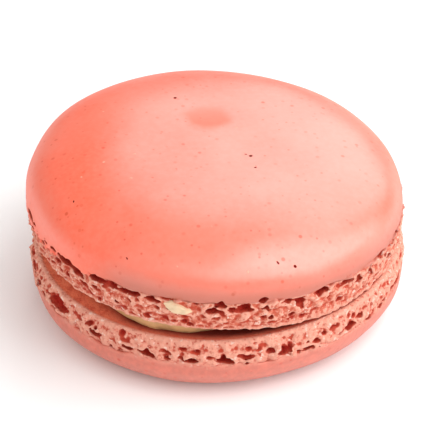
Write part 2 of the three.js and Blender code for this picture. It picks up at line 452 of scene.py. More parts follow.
def cap_outline(plan):
    """The core under the foot, then the skin from its lower edge over the dome to the top."""
    across, up = SKIN_ROUND
    core = plan.rim - CORE_INSET
    ceiling = plan.foot + 0.35 * MM
    edge = plan.rim - across
    hem = plan.foot + up
    points = [(0, 0), (plan.rim - 4.5 * MM, 0), (core, 0)]
    points += line((core, 0), (core, ceiling), 4)
    points += line((core, ceiling), (edge - 0.5 * MM, ceiling), 6)
    points += arc((edge, hem), across, up, start=200, end=360, count=6)
    out_power, up_power = plan.powers
    reach = plan.rim - plan.flat
    rise = plan.cap + plan.foot - hem
    shoulder_rings = 18
    for ring in range(1, shoulder_rings + 1):
        angle = pi / 4 * ring / shoulder_rings
        out = cos(angle) ** (2 / out_power)
        points.append((plan.flat + reach * out, hem + rise * sin(angle) ** (2 / up_power)))
    dome_rings = 26
    for ring in range(1, dome_rings + 1):
        share = out * (1 - ring / dome_rings)
        points.append((plan.flat + reach * share, hem + rise * (1 - share**out_power) ** (1 / up_power)))
    if plan.flat:
        points += line(points[-1], (0, plan.foot + plan.cap), 5)
    return points


def foot_outline(plan):
    """A closed ring: the flat inner face, the lip, the swelling wall and a hidden top and back."""
    back = plan.rim - 3.6 * MM
    face = plan.rim - FACE_INSET
    lip = plan.rim - LIP_INSET
    top = plan.foot + 0.6 * MM
    points = [(back, 0), (face, 0)]
    points += arc((face, LIP_ROUND), lip - face, LIP_ROUND, start=-90, end=0, count=5)[1:]
    stations = 12
    for station in range(1, stations + 1):
        share = station / stations
        swell = 0.26 * MM * sin(pi * share) + 0.4 * MM * share
        points.append((lip + swell, LIP_ROUND + (plan.foot - 0.3 * MM) * share))
    points += [(plan.rim - 1.2 * MM, top), (back, top), (back, 0)]
    return points


def cluster(draw, pore):
    """A large pore with two smaller bubbles that burst into its side."""
    bearing, reach, height, half_width, half_depth, half_height = pore
    half_turn = degrees(half_width / reach)
    bubbles = [pore]
    for side in (-1, 1):
        share = draw.uniform(0.4, 0.7)
        turned = bearing + side * half_turn * draw.uniform(0.6, 1.0)
        lifted = height + half_height * draw.uniform(-0.6, 0.5)
        bubbles.append((turned, reach, lifted, share * half_width, share * half_depth, share * half_height))
    return bubbles


def bubble_places(plan):
    """Where the bubbles of a foot burst, as bearing, reach, height and half sizes in millimetres."""
    draw = random.Random(plan.seed)
    wall = plan.rim / MM
    foot = plan.foot / MM
    places = []
    for bearing, height, half_width, half_height in plan.pores:
        half_depth = min(1.25 * half_width, 1.3)
        places += cluster(draw, (bearing, wall - 0.35, height, half_width, half_depth, half_height))
    for bearing in bearings(draw, UNSEEN_PORES, *UNSEEN, slack=0.1):
        half_width = draw.uniform(0.5, 1.15)
        half_height = half_width * draw.uniform(0.4, 0.75)
        height = foot * draw.uniform(0.55, 1.0)
        places += cluster(draw, (bearing, wall - 0.35, height, half_width, half_width * 1.2, half_height))
    for bearing in bearings(draw, plan.bubbles["under skin"]):
        height = foot - draw.uniform(0.0, 0.55)
        half_sizes = (draw.uniform(0.35, 0.95), draw.uniform(0.6, 0.95), draw.uniform(0.14, 0.34))
        places.append((bearing, wall - 0.3, height, *half_sizes))
    for bearing in bearings(draw, plan.bubbles["medium"]):
        height = foot * draw.uniform(0.2, 0.92)
        half_width = draw.uniform(0.26, 0.52)
        half_height = half_width * draw.uniform(0.5, 0.9)
        places.append((bearing, wall - 0.25, height, half_width, half_width * 1.5, half_height))
    for bearing in bearings(draw, plan.bubbles["pits"]):
        height = foot * draw.uniform(0.1, 1.0)
        size = 0.09 + 0.22 * draw.random() ** 2
        long = draw.uniform(1.0, 2.4)
        places.append((bearing, wall - draw.uniform(-0.05, 0.3), height, size * long, size * 1.8, size))
    return places


def bubble_cutter(plan):
    """All bubbles of a foot as one closed body."""
    draw = random.Random(plan.seed + 1)
    template = lumpy_ball("bubble lumps", lump=0.9, strength=0.7)
    turned_over = plan.place.to_3x3()[2][2] < 0
    bubbles = []
    for bearing, reach, height, half_width, half_depth, half_height in bubble_places(plan):
        size = Matrix.Diagonal((half_width * MM, half_depth * MM, half_height * MM, 1))
        roll = Euler([draw.uniform(0, 2 * pi) for _ in range(3)]).to_matrix().to_4x4()
        bench_bearing = 180 - bearing if turned_over else bearing
        spot = turned_place(bench_bearing, reach * MM, height * MM)
        bubbles.append(copy_of(template, spot @ size @ roll))
    discard(template)
    cutter = join(plan.name + "_bubbles", bubbles)
    remesh(cutter, BUBBLE_VOXEL)
    return cutter


def crag_foot(plan, cutter):
    """The foot: a lumpy ring, burst by bubbles and crumbed all over."""
    foot = turn_profile(plan.name + "_foot", foot_outline(plan), LATHE_STEPS)
    remesh(foot, RING_VOXEL)

    def on_wall(co):
        outer = ramp_up(off_axis(co), plan.rim - 1.6 * MM, plan.rim - 0.7 * MM)
        return outer * ramp_up(co.z, -0.2 * MM, 0.6 * MM)

    wall = weigh(foot, "wall", on_wall)
    roughen(foot, clouds("foot lumps", 1.6 * MM, 2), 0.75 * MM, wall)
    roughen(foot, clouds("foot crags", 0.8 * MM, 2), 0.45 * MM, wall)
    combine(foot, "DIFFERENCE", cutter)
    remesh(foot, FOOT_VOXEL)
    apply_modifier(foot, "SMOOTH", factor=0.5, iterations=1)
    crumbs = bpy.data.textures.new("foot crumbs", "VORONOI")
    crumbs.noise_scale = 0.62 * MM
    (tree,) = surface_of(cutter)

    def between_pores(co):
        away = tree.find_nearest(co)[3]
        return on_wall(co) * ramp_up(away, 0.05 * MM, 0.25 * MM)

    grained = weigh(foot, "between pores", between_pores)
    roughen(foot, crumbs, -plan.grain, grained)
    roughen(foot, clouds("foot specks", 0.36 * MM, 2), plan.grain, grained)
    foot.vertex_groups.clear()
    for vertex in foot.data.vertices:
        co = vertex.co
        side = ramp_up(co.x, 10 * MM, 19 * MM) - ramp_up(-co.x, 12 * MM, 20 * MM)
        push_out(co, plan.lean_out * side * on_wall(co))
    apply_modifier(foot, "DECIMATE", ratio=FOOT_KEPT)
    return foot


def smooth_cap(plan, cutter):
    """The cap's skin with its wandering lower edge, bitten by the bubbles that reach it."""
    cap = turn_profile(plan.name + "_cap", cap_outline(plan), LATHE_STEPS)

    def near_edge(co):
        outer = ramp_up(off_axis(co), plan.rim - 2 * MM, plan.rim - MM)
        return bell(co.z - plan.foot, 1.1 * MM) * outer

    def on_left_edge(co):
        return near_edge(co) * ramp_up(-co.x, *DIP_SPAN)

    def on_skin(co):
        risen = ramp_up(co.z, plan.foot + 0.5 * MM, plan.foot + 1.5 * MM)
        return risen * ramp_up(off_axis(co), plan.flat - MM, plan.flat + 4 * MM)

    edge = weigh(cap, "edge", near_edge)
    roughen(cap, clouds("edge waver", 3.5 * MM, 1), 1.3 * MM, edge, direction="Z")
    if plan.dip:
        press(cap, -plan.dip, weigh(cap, "dip", on_left_edge), direction="Z")
    skin = weigh(cap, "skin", on_skin)
    roughen(cap, clouds("cap swell", 9 * MM, 0), 0.35 * MM, skin)
    if plan.mark:
        x, y, radius, depth = plan.mark
        dent = weigh(cap, "mark", lambda co: on_skin(co) * bell(hypot(co.x - x, co.y - y), radius))
        press(cap, -depth, dent, direction="Z")
    combine(cap, "DIFFERENCE", cutter)
    return cap


def mark_pores(shell, cutter):
    """Stores which vertices lie on the wall of a burst bubble, for the material."""
    (tree,) = surface_of(cutter)
    marks = shell.data.attributes.new("pore", "FLOAT", "POINT")
    for vertex in shell.data.vertices:
        away = tree.find_nearest(vertex.co)[3]
        marks.data[vertex.index].value = 1 - ramp_up(away, 0.04 * MM, 0.14 * MM)


def stored(items, key, width, kind):
    """Values that a mesh stores for its vertices or edges, one row for each."""
    values = np.empty(width * len(items), dtype=kind)
    items.foreach_get(key, values)
    return values.reshape(-1, width)


def mark_hollows(shell):
    """Stores how far each vertex lies below the smoothed surface round it, 1 at full depth below and -1 at
    full height above; the material paints shade into the hollows and a highlight onto the crests.
    """
    mesh = shell.data
    count = len(mesh.vertices)
    first, second = stored(mesh.edges, "vertices", 2, np.int64).T
    start = stored(mesh.vertices, "co", 3, float)
    normals = stored(mesh.vertices, "normal", 3, float)
    neighbours = (np.bincount(first, minlength=count) + np.bincount(second, minlength=count))[:, None]
    smoothed = start.copy()
    rounds = 10
    for _ in range(rounds):
        total = np.empty_like(smoothed)
        for axis in range(3):
            total[:, axis] = np.bincount(first, smoothed[second, axis], count)
            total[:, axis] += np.bincount(second, smoothed[first, axis], count)
        smoothed = total / neighbours
    full_depth = 0.12 * MM
    below = ((smoothed - start) * normals).sum(axis=1)
    marks = mesh.attributes.new("hollow", "FLOAT", "POINT")
    marks.data.foreach_set("value", np.clip(below / full_depth, -1, 1))


def swell_inner_face(shell, sizes, plan):
    """Swells the lower shell's inner face into the gap, while the shell still lies face down."""
    inner = plan.rim - FACE_INSET
    for vertex in shell.data.vertices:
        co = vertex.co
        inset = inner - off_axis(co)
        if co.z < 0.05 * MM and inset > 0:
            widening = max(gap_at(sizes, co.x) - sizes.gap, 0)
            co.z -= sizes.swell_share * widening * ramp_up(inset, 0, sizes.swell_width)


def close_lip(shell, sizes, plan):
    """Squares the lip on the right and lets it grow into the gap, which is nearly closed there."""
    for vertex in shell.data.vertices:
        co = vertex.co
        grown = ramp_up(co.x, 0, 14 * MM) * (1 - ramp_up(co.z, 0, 1.1 * MM))
        grown *= ramp_up(off_axis(co), plan.rim - 3.2 * MM, plan.rim - 1.6 * MM)
        co.z -= 0.38 * grown * gap_at(sizes, co.x)
        push_out(co, 0.22 * MM * grown)


def bake_shell(plan):
    """A whole shell on its inner face, cap up."""
    cutter = bubble_cutter(plan)
    foot = crag_foot(plan, cutter)
    shell = smooth_cap(plan, cutter)
    combine(shell, "UNION", foot)
    discard(foot)
    mark_pores(shell, cutter)
    mark_hollows(shell)
    discard(cutter)
    shell.vertex_groups.clear()
    shell.name = plan.name
    shell.data.name = plan.name
    shade_by_angle(shell, 50)
    return shell


# Cream, almond and crumbs


def spread_cream(sizes):
    """The wedge of cream, pressed out under the upper lip at the front left."""
    rows = 12
    rounding = 1.6 * MM
    low_reach = sizes.cream_radius - rounding
    side = [
        (low_reach + rounding * sin(pi / 2 * min(1, 1.35 * i / rows)), MM * i / rows)
        for i in range(rows + 1)
    ]
    middle = 0.5 * low_reach
    cream = turn_profile("cream", [(0, 0), (middle, 0), *side, (middle, MM), (0, MM)], steps=200)
    overlap = 0.06 * MM
    for vertex in cream.data.vertices:
        share = vertex.co.z / MM
        low = lower_face(sizes) - overlap
        high = lower_face(sizes) + gap_at(sizes, vertex.co.x) + overlap
        vertex.co.z = low + share * (high - low)

    def pressed_out(co):
        bearing = degrees(atan2(co.x, -co.y))
        inset = sizes.cream_radius - off_axis(co)
        return ramp_up(-inset, -2.5 * MM, -0.5 * MM) * bell(bearing + 20, 26)

    press(cream, sizes.cream_bulge, weigh(cream, "pressed out", pressed_out))
    on_side = weigh(cream, "side", lambda co: ramp_up(off_axis(co), 15 * MM, 18 * MM))
    roughen(cream, clouds("cream lumps", 2.6 * MM, 1), 0.5 * MM, on_side)
    cream.vertex_groups.clear()
    shade_by_angle(cream, 60)
    return cream


def shave_almond():
    """One chip of blanched almond about a unit long, thick in the middle and thin at its ends."""
    chip = add("cube", size=1)
    bpy.ops.object.mode_set(mode="EDIT")
    bpy.ops.mesh.subdivide(number_cuts=5)
    bpy.ops.object.mode_set(mode="OBJECT")
    for vertex in chip.data.vertices:
        along = 2 * vertex.co.x
        taper = max(1 - abs(along) ** 1.7, 0) ** 0.75 * 0.96 + 0.04
        vertex.co.y *= 0.42 * taper * (1 + 0.15 * along)
        vertex.co.z *= 0.34 * taper * (1 - 0.35 * along)
    apply_modifier(chip, "SUBSURF", levels=2, render_levels=2)
    roughen(chip, clouds("almond shave", 0.3), 0.08)
    return chip


def flake_template():
    """A thin flake about a unit across."""
    flake = add("circle", vertices=7, radius=0.5, fill_type="NGON")
    bpy.ops.object.mode_set(mode="EDIT")
    bpy.ops.mesh.extrude_region_move(TRANSFORM_OT_translate={"value": (0, 0, 0.16)})
    bpy.ops.transform.resize(value=(0.6, 0.6, 1))
    bpy.ops.object.mode_set(mode="OBJECT")
    flake.data.vertices[0].co.x *= 1.4
    flake.data.vertices[3].co.y *= 1.3
    apply_modifier(flake, "BEVEL", width=0.05, segments=1)
    return flake


def surface_of(*pieces):
    """Trees that find where a ray meets placed pieces."""
    graph = bpy.context.evaluated_depsgraph_get()
    return [BVHTree.FromObject(piece, graph) for piece in pieces]


def stand_on(normal, spin):
    """Turns a thing that lies flat so that its +Z follows a surface's normal."""
    return normal.to_track_quat("Z", "Y").to_matrix().to_4x4() @ Matrix.Rotation(spin, 4, "Z")


def scatter_flecks(name, cap, plan, spots, extra, size, seed):
    """Flecks in the upper cap: those the photograph shows, and any extra ones by chance."""
    draw = random.Random(seed)
    template = flake_template()
    (tree,) = surface_of(cap)
    spots = [(x * MM, y * MM) for x, y in spots]
    strewn = 21 * MM
    for _ in range(extra):
        radius = strewn * sqrt(draw.random())
        angle = draw.uniform(0, 2 * pi)
        spots.append((radius * cos(angle), radius * sin(angle)))
    down = plan.place.to_3x3() @ Vector((0, 0, -1))
    flecks = []
    for x, y in spots:
        point, normal, _, _ = tree.ray_cast(plan.place @ Vector((x, y, CLEAR)), down)
        across = draw.uniform(*size) * MM
        stretch = Matrix.Diagonal((across, across * draw.uniform(0.4, 0.9), 0.35 * MM, 1))
        sunk = Matrix.Translation(point - normal * 0.02 * MM)
        flecks.append(copy_of(template, sunk @ stand_on(normal, draw.uniform(0, FULL_TURN)) @ stretch))
    discard(template)
    return join(name, flecks)


def scatter_crumbs(name, shells, plans, count, seed):
    """Loose crumbs that cling to the feet."""
    draw = random.Random(seed)
    template = lumpy_ball("crumb lumps", lump=0.7, strength=0.9)
    crumbs = []
    for tree, plan in zip(surface_of(*shells), plans):
        for bearing in bearings(draw, count):
            turn = turned_place(bearing, CLEAR, plan.foot * draw.uniform(0.08, 0.92))
            start = plan.place @ turn @ Vector((0, 0, 0))
            inwards = plan.place.to_3x3() @ turn.to_3x3() @ Vector((0, 1, 0))
            point, normal, _, _ = tree.ray_cast(start, inwards)
            size = draw.uniform(0.07, 0.2) * MM
            shape = Matrix.Diagonal((size, size * draw.uniform(0.6, 1), size * draw.uniform(0.5, 0.8), 1))
            lie = stand_on(normal, draw.uniform(0, FULL_TURN))
            crumbs.append(copy_of(template, Matrix.Translation(point) @ lie @ shape))
    discard(template)
    return join(name, crumbs)


# Materials


def plug(sockets, values):
    """Fills sockets, by name or place: a value that is a socket is linked, and any other is set."""
    for key, value in values.items():
        socket = sockets[key]
        if isinstance(value, bpy.types.NodeSocket):
            value.id_data.links.new(value, socket)
        else:
            socket.default_value = (*value, 1) if socket.type == "RGBA" else value


def node(tree, kind, inputs=None, **settings):
    """Adds a node with these settings and inputs."""
    made = tree.nodes.new(kind)
    for key, value in settings.items():
        setattr(made, key, value)
    plug(made.inputs, inputs or {})
    return made


def maths(operation, first, second):
    """Works on two values, in the tree of the one that is a socket."""
    tree = (first if isinstance(first, bpy.types.NodeSocket) else second).id_data
    return node(tree, "ShaderNodeMath", {0: first, 1: second}, operation=operation).outputs[0]


plus = partial(maths, "ADD")
minus = partial(maths, "SUBTRACT")
times = partial(maths, "MULTIPLY")
larger = partial(maths, "MAXIMUM")


def lessen(value, share):
    """Takes a share away from a value, all of it for a share of 1."""
    return times(value, minus(1.0, share))


def from_axis(axes):
    """Distance from the middle axis."""
    tree = axes[0].id_data
    flat = node(tree, "ShaderNodeCombineXYZ", {0: axes[0], 1: axes[1]}).outputs[0]
    return node(tree, "ShaderNodeVectorMath", {0: flat}, operation="LENGTH").outputs["Value"]


def between(value, low, high):
    """0 at low, 1 at high and smooth between."""
    ends = {"Value": value, "From Min": low, "From Max": high}
    return node(value.id_data, "ShaderNodeMapRange", ends, interpolation_type="SMOOTHSTEP").outputs[0]


def mix(share, first, second):
    """Mixes two colours."""
    inputs = {0: share, 6: first, 7: second}
    return node(share.id_data, "ShaderNodeMix", inputs, data_type="RGBA").outputs[2]


def noise(place_in, scale, detail, roughness=0.5):
    settings = {"Vector": place_in, "Scale": scale, "Detail": detail, "Roughness": roughness}
    return node(place_in.id_data, "ShaderNodeTexNoise", settings).outputs["Fac"]


def kinds(kind, names):
    """Socket names, all of one kind."""
    return dict.fromkeys(names.split(), kind)


def new_group(name, inputs, outputs):
    """An empty shader group. Inputs and outputs are names with socket kinds."""
    tree = bpy.data.node_groups.new(name, "ShaderNodeTree")
    for way, sockets in (("INPUT", inputs), ("OUTPUT", outputs)):
        for label, kind in sockets.items():
            tree.interface.new_socket(label, in_out=way, socket_type="NodeSocket" + kind)
    return tree, node(tree, "NodeGroupInput").outputs, node(tree, "NodeGroupOutput").inputs


def zones_group():
    """Says where a shell is skin, pore, lip or inner face, and where shade is painted low on its wall and
    deep in its gap, from its place on the bench.
    """
    tree, given, put = new_group(
        "Shell zones",
        {"Place": "Vector"} | kinds("Float", "Pore Rim Foot Blend Dip"),
        kinds("Float", "Skin Wall Hem Pore Depth Lip Ledge Inner Left Right"),
    )
    axes = node(tree, "ShaderNodeSeparateXYZ", {0: given["Place"]}).outputs
    radius = from_axis(axes)
    height = axes[2]
    start, full = DIP_SPAN
    dipped = times(given["Dip"], between(axes[0], -start, -full))
    above = minus(plus(height, dipped), given["Foot"])
    ragged = times(minus(noise(given["Place"], 700, 2), 0.5), 0.8 * MM)
    below = times(given["Blend"], -1.0)
    bare = minus(1.0, between(height, 0.0, 1.1 * MM))
    wall = minus(given["Rim"], times(bare, 0.7 * MM))
    sunk = minus(wall, radius)
    face = minus(1.0, between(height, 0.0, 0.12 * MM))
    inset = minus(given["Rim"], radius)
    left = between(axes[0], -9.0 * MM, -16.0 * MM)
    low = between(above, 3.6 * MM, 0.4 * MM)
    inner_start = plus(times(left, 0.7 * MM), 0.9 * MM)
    inner_end = plus(times(left, 3.2 * MM), 2.2 * MM)
    zones = {
        "Skin": between(plus(above, ragged), below, given["Blend"]),
        "Wall": low,
        # Painted shade low on the upper cap's wall, left out on the left
        "Hem": lessen(low, left),
        "Pore": times(given["Pore"], between(sunk, 0.02 * MM, 0.2 * MM)),
        "Depth": between(sunk, 0.1 * MM, 0.8 * MM),
        "Lip": minus(1.0, between(height, 0.25 * MM, 0.75 * MM)),
        "Ledge": times(face, between(inset, 0.8 * MM, 1.2 * MM)),
        # The deeper inner face, where shadow is painted near-black in the gap
        "Inner": times(face, between(inset, inner_start, inner_end)),
        "Left": left,
        "Right": between(axes[0], 4.0 * MM, 13.0 * MM),
    }
    plug(put, zones)
    return tree


def skin_group():
    """Mottled, freckled meringue skin, with painted shade in one patch: deeper, more orange skin where the
    cap catches no sheen.
    """
    tree, given, put = new_group(
        "Meringue skin",
        {"Place": "Vector"} | kinds("Color", "Skin Warm Pale Freckle"),
        {"Color": "Color", "Dots": "Float", "Height": "Float"},
    )
    place_in = given["Place"]
    away = node(tree, "ShaderNodeVectorMath", {0: place_in, 1: SHADE_PATCH_MIDDLE}, operation="DISTANCE").outputs
    mottled = between(noise(place_in, 90, 3), 0.4, 0.7)
    # Painted shade: besides the mottled patches, the warm colour fills a patch round its middle at the
    # front left, where the cap catches no sheen
    warm_and_shade = larger(mottled, between(away["Value"], 15 * MM, 6 * MM))
    shade = mix(warm_and_shade, given["Skin"], given["Warm"])
    shifted = node(tree, "ShaderNodeVectorMath", {0: place_in, 1: (0.31, 0.17, 0.05)}).outputs[0]
    pale = times(between(noise(shifted, 230, 4), 0.5, 0.75), 0.22)
    shade = mix(pale, shade, given["Pale"])
    grain = between(noise(place_in, 1500, 3), 0.3, 0.75)
    shade = mix(times(grain, 0.3), shade, given["Pale"])
    dots = 0.0
    for scale, size, left_out, strength in FRECKLES:
        cells = node(tree, "ShaderNodeTexVoronoi", {"Vector": place_in, "Scale": scale}).outputs
        chosen = node(tree, "ShaderNodeSeparateColor", {0: cells["Color"]}).outputs
        strong = times(between(chosen[0], left_out, 1.0), strength)
        dots = larger(dots, lessen(strong, between(cells["Distance"], 0.4 * size, size)))
    fine = times(noise(place_in, 2200, 2), 0.35)
    height = plus(noise(place_in, 420, 2), fine)
    plug(put, {"Color": mix(dots, shade, given["Freckle"]), "Dots": dots, "Height": height})
    return tree


def crumb_group():
    """Crumb of a foot: uneven pink with pale grains, with painted shade that makes it redder and darker
    down in its pores, in its creases and in small pits, and a painted highlight along its lip and on its
    crests.
    """
    tree, given, put = new_group(
        "Foot crumb",
        {"Place": "Vector"}
        | kinds("Color", "Foot Crumb Grain Edge Deep")
        | kinds("Float", "Lip Pore Depth Hollow"),
        {"Color": "Color", "Height": "Float"},
    )
    place_in = given["Place"]
    pale = times(between(noise(place_in, 1500, 5, 0.7), 0.42, 0.64), 0.8)
    # Painted highlight: paler crumb along the lip and on the crests
    pale = larger(pale, times(given["Lip"], 0.85))
    pale = larger(pale, between(given["Hollow"], -0.08, -0.55))
    shade = mix(pale, given["Foot"], given["Crumb"])
    # Painted shade: darker, redder crumb in the creases
    crease_shade = times(between(given["Hollow"], 0.08, 0.55), 0.95)
    shade = mix(crease_shade, shade, given["Edge"])
    # Painted shade: dark dots for small pits that the mesh doesn't have
    pits = between(noise(place_in, 2100, 3, 0.6), 0.56, 0.68)
    shade = mix(times(pits, 0.65), shade, given["Edge"])
    grains = between(noise(place_in, 1700, 2, 0.5), 0.60, 0.70)
    shade = mix(times(grains, 0.9), shade, given["Grain"])
    # Painted shade: the pores' walls darken and redden further down
    hollow = mix(given["Depth"], given["Edge"], given["Deep"])
    colour_out = mix(given["Pore"], shade, hollow)
    plug(put, {"Color": colour_out, "Height": noise(place_in, 2600, 3, 0.6)})
    return tree


def new_material(name):
    """A material with an empty tree, its shader and its output."""
    material = bpy.data.materials.new(name)
    material.use_nodes = True
    tree = material.node_tree
    tree.nodes.clear()
    shader = node(tree, "ShaderNodeBsdfPrincipled")
    node(tree, "ShaderNodeOutputMaterial", {"Surface": shader.outputs[0]})
    return material, tree, shader


def group_node(name, build, inputs):
    """A node of a shader group, which is built on first use."""
    group = bpy.data.node_groups.get(name) or build()
    return node(inputs["Place"].id_data, "ShaderNodeGroup", inputs, node_tree=group).outputs


def bump(height, distance):
    relief = {"Height": height, "Distance": distance, "Strength": 1.0}
    return node(height.id_data, "ShaderNodeBump", relief).outputs["Normal"]


def ranged(value, low, high):
    """A value between 0 and 1 carried over to another range."""
    ends = {"Value": value, "To Min": low, "To Max": high}
    return node(value.id_data, "ShaderNodeMapRange", ends).outputs[0]


def shell_material(plan, colours, upper):
    """Skin over a craggy foot, laid out on the shell as it stood on the bench."""
    # The lower cap's darker skin is painted shade.
    skin_shade = colours.skin if upper else colours.shaded_lower_skin
    foot_shade = Vector(colours.foot).lerp(Vector(colours.crumb), 0.0 if upper else 0.75)
    material, tree, shader = new_material(plan.name + " meringue")
    laid_out = {
        "Vector": node(tree, "ShaderNodeTexCoord").outputs["Object"],
        "Location": plan.place.translation,
        "Rotation": plan.place.to_euler(),
    }
    place_in = node(tree, "ShaderNodeMapping", laid_out, vector_type="TEXTURE").outputs[0]
    on_bench = {
        "Place": place_in,
        "Pore": node(tree, "ShaderNodeAttribute", attribute_name="pore").outputs["Fac"],
        "Rim": plan.rim,
        "Foot": plan.foot,
        "Blend": plan.blend,
        "Dip": plan.dip,
    }
    zones = group_node("Shell zones", zones_group, on_bench)
    of_skin = {
        "Place": place_in,
        "Skin": skin_shade,
        "Warm": colours.skin_warm if upper else skin_shade,
        "Pale": colours.skin_pale,
        "Freckle": colours.freckle,
    }
    skin = group_node("Meringue skin", skin_group, of_skin)
    of_crumb = {
        "Place": place_in,
        "Foot": foot_shade,
        "Crumb": colours.crumb,
        "Grain": colours.grain,
        "Edge": colours.pore_edge_shade,
        "Deep": colours.pore,
        "Lip": zones["Lip"],
        "Pore": zones["Pore"],
        "Depth": zones["Depth"],
        "Hollow": node(tree, "ShaderNodeAttribute", attribute_name="hollow").outputs["Fac"],
    }
    crumb = group_node("Foot crumb", crumb_group, of_crumb)
    skin_colour = skin["Color"]
    facing = node(tree, "ShaderNodeLayerWeight", {"Blend": 0.5}).outputs["Facing"]
    sheen = minus(1.0, times(between(facing, 0.45, 0.95), 0.9))
    sheen = lessen(sheen, times(zones["Wall"], 0.6))
    sheen = lessen(sheen, times(zones["Left"], 0.5))
    sheen = lessen(sheen, skin["Dots"])
    if upper:
        # Painted shade low on the upper cap's wall
        skin_colour = mix(times(zones["Hem"], 0.85), skin_colour, colours.hem)
        blotch = piping_blotch(place_in)
        skin_colour = mix(blotch, skin_colour, colours.skin_warm)
        sheen = lessen(sheen, times(blotch, 0.8))
    ledge = mix(zones["Left"], colours.foot, colours.ledge)
    # Painted shade: on the right, where the gap nearly closes, the ledge takes the dark colour of the
    # pores' edges
    ledge = mix(zones["Right"], ledge, colours.pore_edge_shade)
    streaks = between(noise(place_in, 700, 4, 0.65), 0.42, 0.68)
    ledge = mix(times(streaks, 0.75), ledge, colours.pore_edge_shade)
    foot_colour = mix(zones["Ledge"], crumb["Color"], ledge)
    # Painted shadow: the deeper inner face goes near-black in the gap between the shells
    foot_colour = mix(zones["Inner"], foot_colour, colours.inner)
    on_skin = lessen(zones["Skin"], zones["Pore"])
    glossy = times(on_skin, sheen)
    smooth = larger(on_skin, zones["Ledge"])
    smooth = minus(smooth, times(zones["Ledge"], 0.5))
    fine = times(skin["Height"], 0.08)
    height = node(tree, "ShaderNodeMix", {0: smooth, 2: crumb["Height"], 3: fine}).outputs[0]
    surface = {
        "Base Color": mix(on_skin, foot_colour, skin_colour),
        "IOR": 1.5,
        "Specular IOR Level": ranged(glossy, 0.25, 0.8),
        "Roughness": ranged(on_skin, 0.8, 0.42),
        "Coat Weight": times(glossy, plan.coat),
        "Coat IOR": 1.8,
        "Coat Roughness": 0.34,
        "Normal": bump(height, 0.4 * MM),
    }
    plug(shader.inputs, surface)
    return material


def piping_blotch(place_in):
    """Where the piping bag left a redder blotch, fainter towards the back."""
    tree = place_in.id_data
    laid_out = {"Vector": place_in, "Location": (-1.2 * MM, 5.9 * MM, 0), "Scale": (3.2 * MM, 3.4 * MM, MM)}
    centred = node(tree, "ShaderNodeMapping", laid_out, vector_type="TEXTURE").outputs[0]
    axes = node(tree, "ShaderNodeSeparateXYZ", {0: centred}).outputs
    frayed = times(minus(noise(place_in, 420, 3), 0.5), 0.7)
    away = plus(from_axis(axes), frayed)
    front = between(axes[1], 2.0, -0.6)
    return times(lessen(front, between(away, 0.5, 1.15)), 0.75)


def darker(shade, share):
    return tuple(share * channel for channel in shade)


def two_tone(name, shades, scale, roughness, edges=None, relief=None):
    """A material of two shades that noise mixes, with fine relief where its scale and depth are given."""
    material, tree, shader = new_material(name)
    place_in = node(tree, "ShaderNodeTexCoord").outputs["Object"]
    share = noise(place_in, scale, 3 if edges else 2)
    if edges:
        share = between(share, *edges)
    base = mix(share, shades[0], shades[1])
    plug(shader.inputs, {"Base Color": base, "Roughness": roughness})
    if relief:
        fineness, depth = relief
        plug(shader.inputs, {"Normal": bump(noise(place_in, fineness, 2), depth)})
    return material, shader


def cream_material(colours):
    """Soft beige cream with a faint moist sheen."""
    shades = (colours.cream, darker(colours.cream, 0.72))
    relief = (1400, 0.06 * MM)
    return two_tone("beige cream", shades, 500, roughness=0.5, edges=(0.4, 0.7), relief=relief)[0]


def almond_material(name, base, darker_share):
    """Dull almond with uneven colour along its cut."""
    shades = (base, darker(base, darker_share))
    relief = (3000, 0.05 * MM)
    material, shader = two_tone(name, shades, 1300, roughness=0.6, edges=(0.45, 0.7), relief=relief)
    shader.inputs["Specular IOR Level"].default_value = 0.1
    return material


def crumb_material(colours):
    """Pale loose crumbs."""
    return two_tone("loose crumb", (colours.foot, colours.crumb), 600, roughness=0.8)[0]


def floor_material(colours):
    """Matt pale studio paper."""
    shades = (colours.floor, darker(colours.floor, 0.985))
    return two_tone("studio paper", shades, 30, roughness=0.9)[0]


def finish(piece, material):
    """Gives a piece its material and lets it ride on the biscuit."""
    piece.data.materials.clear()
    piece.data.materials.append(material)
    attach(piece, "root")


# Operators


class MACARON_OT_lower_shell(bpy.types.Operator):
    """Model the lower shell, which lies upside down"""

    bl_idname = "macaron.lower_shell"
    bl_label = "Lower shell"

    def execute(self, context):
        sizes = context.scene.macaron_sizes
        plan = lower_plan(sizes)
        shell = bake_shell(plan)
        swell_inner_face(shell, sizes, plan)
        close_lip(shell, sizes, plan)
        place(shell, plan.place)
        for vertex in shell.data.vertices:
            vertex.co.z = max(vertex.co.z, 0)
        finish(shell, shell_material(plan, context.scene.macaron_colours, False))
        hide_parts("shell_bottom")
        return {"FINISHED"}


class MACARON_OT_upper_shell(bpy.types.Operator):
    """Model the upper shell, which leans on the cream"""

    bl_idname = "macaron.upper_shell"
    bl_label = "Upper shell"

    def execute(self, context):
        sizes = context.scene.macaron_sizes
        plan = upper_plan(sizes)
        shell = bake_shell(plan)
        close_lip(shell, sizes, plan)
        place(shell, plan.place)
        finish(shell, shell_material(plan, context.scene.macaron_colours, True))
        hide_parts("shell_top")
        return {"FINISHED"}


class MACARON_OT_cream(bpy.types.Operator):
    """Spread the wedge of cream between the shells"""

    bl_idname = "macaron.cream"
    bl_label = "Cream"

    def execute(self, context):
        cream = spread_cream(context.scene.macaron_sizes)
        finish(cream, cream_material(context.scene.macaron_colours))
        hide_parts("filling")
        return {"FINISHED"}


